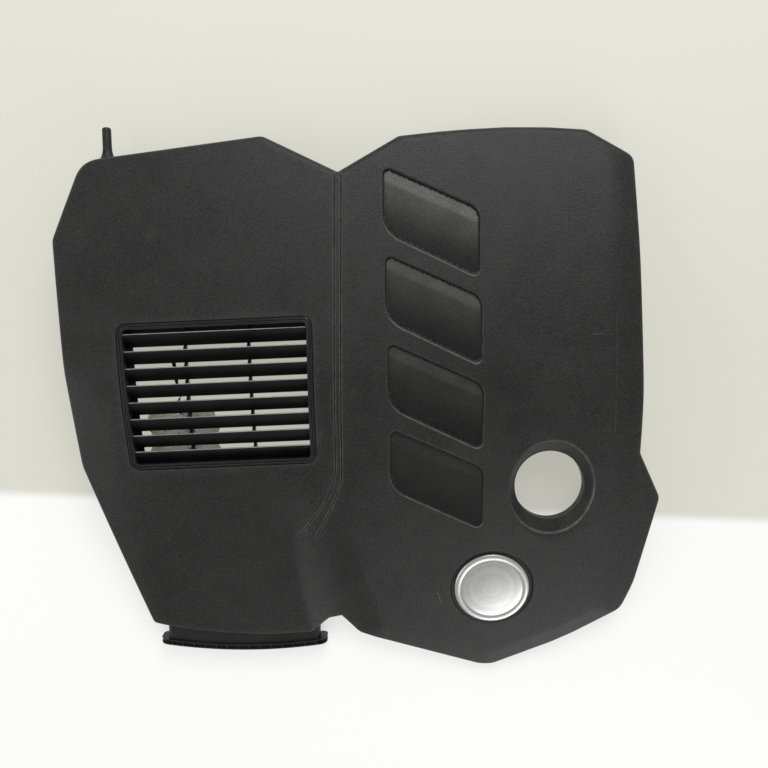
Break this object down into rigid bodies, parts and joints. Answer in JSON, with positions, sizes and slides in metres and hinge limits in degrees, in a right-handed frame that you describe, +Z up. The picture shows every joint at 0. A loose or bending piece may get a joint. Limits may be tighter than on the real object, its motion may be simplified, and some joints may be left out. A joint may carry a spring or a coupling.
{
  "type": "engine cover",
  "caption": "Moulded plastic cover for the top of a car engine, with two lobes, a louvred vent, an oil filler hole, a flat air duct and foam sound pads below.",
  "frame": {"origin": "middle of the bounding box in X and Y, on the plane that the cover rests on", "axes": "+X to the right and +Y to the back edge, seen from above with the duct's mouth towards the viewer; +Z up, out of the visible face"},
  "size_m": [0.6196, 0.58, 0.0705],
  "materials": {
    "moulded_plastic": "fine grain",
    "vent_plastic": "satin",
    "badge_silver": "satin silver",
    "duct_plastic": "dark, fine grain",
    "zinc_steel": "zinc plated",
    "black_rubber": "dull",
    "sound_foam": "open-cell foam with a fleece face"
  },
  "bodies": {
    "root": {"cover_shell": "moulded_plastic", "vent_grille": "vent_plastic", "blank_badge": "badge_silver", "badge_push_nuts": "zinc_steel", "intake_duct": "duct_plastic", "duct_screws": "zinc_steel", "grommet_back_left": "black_rubber", "grommet_back_right": "black_rubber", "grommet_front_left": "black_rubber", "grommet_front_right": "black_rubber", "foam_pad_left": "sound_foam", "foam_pad_right": "sound_foam", "pad_washers": "zinc_steel"}
  },
  "joints": []
}
